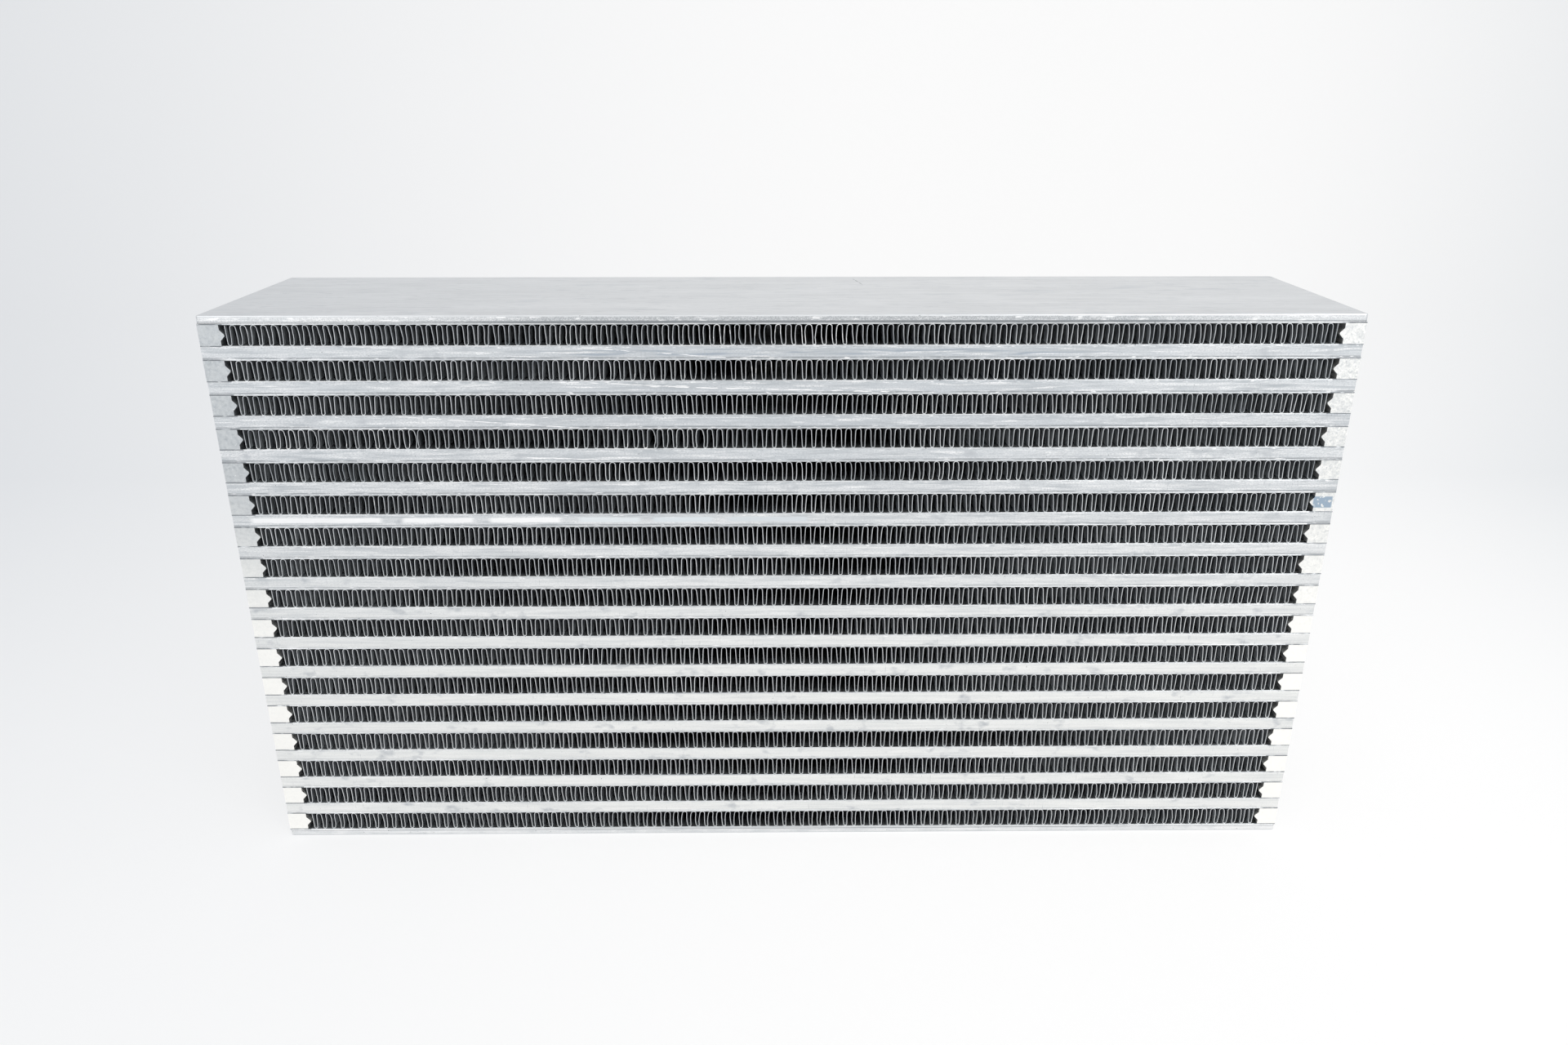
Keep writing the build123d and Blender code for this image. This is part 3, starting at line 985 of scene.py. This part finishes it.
def settle(mesh, layer, pitch, height, depth):
    """Moves the points of a ribbon sideways, as a fin settles in its layer."""
    rng = np.random.default_rng(100 + layer)
    count = len(mesh.vertices)
    points = np.empty(count * 3)
    mesh.vertices.foreach_get("co", points)
    points = points.reshape(count, 3)
    x, rise, from_front = points[:, 0].copy(), points[:, 2] / height, points[:, 1] + depth / 2
    left, right = x.min(), x.max()

    wall = np.floor(2 * (x - left) / pitch + CROWN_SHARE).astype(int)     # even walls go down, odd ones up
    down = wall % 2 == 0
    walls = wall.max() + 2
    drift = rng.normal(0.0, DRIFT, walls)
    shift = drift[wall + ~down] * rise + drift[wall + down] * (1 - rise)

    curled = layer in CURLED_LAYERS
    bow = rng.normal(BOW, CURLED_SPREAD if curled else BOW_SPREAD, walls)
    bow *= np.where(np.arange(walls) % 2, -0.5, 1.0)
    sway = rng.uniform(*(CURLED_SWAY if curled else SWAY))
    twist = rng.normal(0.0, CURLED_TWIST if curled else TWIST_SPREAD, walls)
    sway_phase, lean_phase, wave_phase = rng.uniform(0, 2 * math.pi, 3)
    shift += np.sin(math.pi * rise) * (bow[wall] + sway * wave_along(x, SWAY_LENGTH, sway_phase))
    shift += np.sin(2 * math.pi * rise) * twist[wall]

    lean = rng.uniform(*LEAN)
    shift += (rise - 0.5) * lean * wave_along(x, LEAN_LENGTH, lean_phase)
    wave = rng.uniform(*(WAVE if layer % 2 else STRONG_WAVE))
    behind = np.clip(from_front / DENT_REACH, 0, 1)
    shift += wave * np.sin(behind * math.pi) * wave_along(x, WAVE_LENGTH, wave_phase)

    for row, start, end, _, _, dent in KNOCKS:
        push = rng.normal(0.4, 0.8, walls)
        if row == layer:
            inside = np.clip((x / MM - start) / DENT_FADE, 0, 1) * np.clip((end - x / MM) / DENT_FADE, 0, 1)
            shift += push[wall] * dent * inside * np.sin(math.pi * rise) * (1 - behind)

    ends_held = np.clip((x - left) / (2 * pitch), 0, 1) * np.clip((right - x) / (2 * pitch), 0, 1)
    along = (x - left) / (right - left)
    points[:, 0] = x + shift * MM * ends_held
    points[:, 0] += rng.uniform(*LEFT_GAP) * MM * (1 - along) - rng.uniform(*RIGHT_GAP) * MM * along
    mesh.vertices.foreach_set("co", points.reshape(-1))
    mesh.update()


# %% Seventeen air fins
for layer in range(1, AIR_LAYERS + 1):
    name = f"air_fin_{layer:02d}"
    low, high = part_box(name)
    settled = air_ribbon.copy()
    settle(settled, layer, AIR_PITCH, high.z - low.z, high.y - low.y)
    bm = bmesh.new()
    bm.from_mesh(settled)
    bpy.data.meshes.remove(settled)
    bmesh.ops.translate(bm, vec=(0, 0, low.z), verts=bm.verts)
    piece = make_piece(name + "_dressed", bm, [FOIL_FINISH, FOIL_EDGE_FINISH], name)
print("air fins:", AIR_LAYERS, "pieces of", triangles(piece.data), "triangles each")

# %% The charge fins, across the core
# The same ribbon, turned to run from left to right. Its folds stand closer, as in most such cores.
CHARGE_FOLD_PITCH = 3.2 * MM

low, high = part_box("charge_fins")
bar_low, bar_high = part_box("long_bars_01")
charge_height = bar_high.z - bar_low.z
charge_folds, charge_pitch = fitted(high.y - low.y, CHARGE_FOLD_PITCH)
ribbon = folded_ribbon(charge_folds, charge_pitch, charge_height, high.x - low.x, [])
bmesh.ops.rotate(ribbon, cent=(0, 0, 0), matrix=Matrix.Rotation(math.pi / 2, 3, "Z"), verts=ribbon.verts)
for face in ribbon.faces:
    face.material_index = 1 if abs(face.normal.x) > 0.9 else 0
    face.smooth = True
charge_ribbon = bpy.data.meshes.new("charge_ribbon")
ribbon.to_mesh(charge_ribbon)
ribbon.free()
charge_ribbon.set_sharp_from_angle(angle=SHARP_BEND)

charge_fins = bmesh.new()
for layer in range(1, AIR_LAYERS):
    bar_low, bar_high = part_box(f"long_bars_{layer:02d}")
    start = len(charge_fins.verts)
    charge_fins.from_mesh(charge_ribbon)
    charge_fins.verts.ensure_lookup_table()
    bmesh.ops.translate(charge_fins, vec=(0, 0, bar_low.z), verts=charge_fins.verts[start:])
piece = make_piece(
    "charge_fins_dressed", charge_fins, [FOIL_FINISH, FOIL_EDGE_FINISH], "charge_fins",
)
print(piece.name, triangles(piece.data), "triangles")

# %% [markdown]
# ## Studio
#
# Bare metal shows the room more than it shows itself, so the studio is simple and pale: a floor that curves
# up into a wall, a world of even white light, and three large soft lamps. The floor and the wall are whitest
# in the middle and are painted a little grey to both sides, a painted shade for the light of a paper sweep
# that falls off there. They glow a little only where they are seen or mirrored, so they look white and still
# light the core and take its shadow as paper does.

# %% The backdrop's paper
def seen_directly(tree):
    """1 for rays that show the surface itself: the camera's, a reflection's or one through glass."""
    path = add(tree, "ShaderNodeLightPath").outputs
    return chain(tree, "MAXIMUM", path["Is Camera Ray"], path["Is Glossy Ray"], path["Is Transmission Ray"])


SIDE_SHADES = [                # start and end along X in metres, and colour of the painted shade, to the left and to the right
    ((0.15, -1.2), "#dfe2e6"), ((0.40, 1.15), "#e4e7ea"),
]
SPREAD_AT_WALL = 2.8     # the painted pool of light is this many times as wide on the wall as on the floor
SEEN_GLOW = 0.75         # how much of its own light the backdrop shows, beside what falls on it


# Matt white paper: no gloss, with a painted shade that greys it to both sides.
def studio_white():
    material, tree, _, axes = new_material("studio_white")
    spread = add(tree, "ShaderNodeMapRange", {
        "Value": axes["Y"], "From Min": 0.6, "From Max": 2.6, "To Min": 1.0, "To Max": SPREAD_AT_WALL,
    }).outputs["Result"]
    across = add(tree, "ShaderNodeMath", {0: axes["X"], 1: spread}, operation="DIVIDE").outputs[0]
    # Painted shade: the paper is painted a little grey to both sides, where a sweep's light falls off.
    side_shade_masks = [(add(tree, "ShaderNodeMapRange", {
        "Value": across, "From Min": start, "From Max": end,
    }, interpolation_type="SMOOTHSTEP").outputs["Result"], tint) for (start, end), tint in SIDE_SHADES]
    pale = marked(tree, linear("#ffffff"), side_shade_masks)
    matte = add(tree, "ShaderNodeBsdfDiffuse", {"Color": pale})
    bright = add(tree, "ShaderNodeEmission", {"Color": pale, "Strength": 1.0})
    share = chain(tree, "MULTIPLY", seen_directly(tree), SEEN_GLOW)
    both = add(tree, "ShaderNodeMixShader", {0: share, 1: matte.outputs[0], 2: bright.outputs[0]})
    add(tree, "ShaderNodeOutputMaterial", {"Surface": both.outputs[0]})
    return material


# %% Floor and backdrop
# In metres. The floor's rear rim is spun upwards, and the strip from there on is the wall.
FLOOR_WIDTH, FLOOR_FRONT, FLOOR_REAR, WALL_RADIUS, WALL_TOP = 8.0, -3.0, 1.6, 1.2, 3.5

bm = bmesh.new()
start = bm.verts.new((-FLOOR_WIDTH / 2, FLOOR_FRONT, 0))
end = bm.verts.new((FLOOR_WIDTH / 2, FLOOR_FRONT, 0))
edge = bm.edges.new((start, end))
swept = bmesh.ops.extrude_edge_only(bm, edges=[edge])
rim = [g for g in swept["geom"] if isinstance(g, bmesh.types.BMVert)]
bmesh.ops.translate(bm, vec=(0, FLOOR_REAR - FLOOR_FRONT, 0), verts=rim)
rim_edges = [g for g in swept["geom"] if isinstance(g, bmesh.types.BMEdge) and all(v in rim for v in g.verts)]
curved = bmesh.ops.spin(
    bm, geom=rim + rim_edges, cent=(0, FLOOR_REAR, WALL_RADIUS), axis=(1, 0, 0), angle=math.pi / 2, steps=24,
)
rim_edges = [g for g in curved["geom_last"] if isinstance(g, bmesh.types.BMEdge)]
swept = bmesh.ops.extrude_edge_only(bm, edges=rim_edges)
rim = [g for g in swept["geom"] if isinstance(g, bmesh.types.BMVert)]
bmesh.ops.translate(bm, vec=(0, 0, WALL_TOP - WALL_RADIUS), verts=rim)
bmesh.ops.recalc_face_normals(bm, faces=bm.faces)
mesh = bpy.data.meshes.new("studio_floor")
bm.to_mesh(mesh)
bm.free()
for polygon in mesh.polygons:
    polygon.use_smooth = True
floor = bpy.data.objects.new("studio_floor", mesh)
mesh.materials.append(studio_white())
bpy.context.scene.collection.objects.link(floor)
print(floor.name, "is", FLOOR_WIDTH, "m wide, and its wall is", WALL_TOP, "m high")

# %% World and lamps
WORLD_LIGHT = 0.68          # what the air of the studio gives to matte surfaces
WORLD_SEEN = 1.0            # how bright it looks, also as a reflection in the metal

world = bpy.data.worlds.new("studio_air")
world.use_nodes = True
tree = world.node_tree
tree.nodes.clear()
strength = add(tree, "ShaderNodeMapRange", {
    "Value": seen_directly(tree), "To Min": WORLD_LIGHT, "To Max": WORLD_SEEN,
}).outputs["Result"]
air = add(tree, "ShaderNodeBackground", {"Color": linear("#ffffff"), "Strength": strength})
add(tree, "ShaderNodeOutputWorld", {"Surface": air.outputs["Background"]})
bpy.context.scene.world = world


def soft_lamp(name, place, aim, size, watts):
    """A square soft box that points at aim."""
    data = bpy.data.lights.new(name, "AREA")
    data.size = size
    data.energy = watts
    lamp = bpy.data.objects.new(name, data)
    lamp.location = place
    lamp.rotation_euler = (Vector(aim) - Vector(place)).to_track_quat("-Z", "Y").to_euler()
    bpy.context.scene.collection.objects.link(lamp)


CORE_MIDDLE = (0.0, 0.0, 0.15)
soft_lamp("softbox_above", (0.3, -0.6, 2.0), CORE_MIDDLE, 1.8, 9)
soft_lamp("softbox_right", (1.5, -1.9, 1.2), CORE_MIDDLE, 1.4, 19)
soft_lamp("softbox_left", (-1.5, -1.9, 0.9), CORE_MIDDLE, 1.4, 10)

view_settings = bpy.context.scene.view_settings
view_settings.view_transform = "Standard"
print("lamps in watts:", {lamp.name: lamp.energy for lamp in bpy.data.lights})
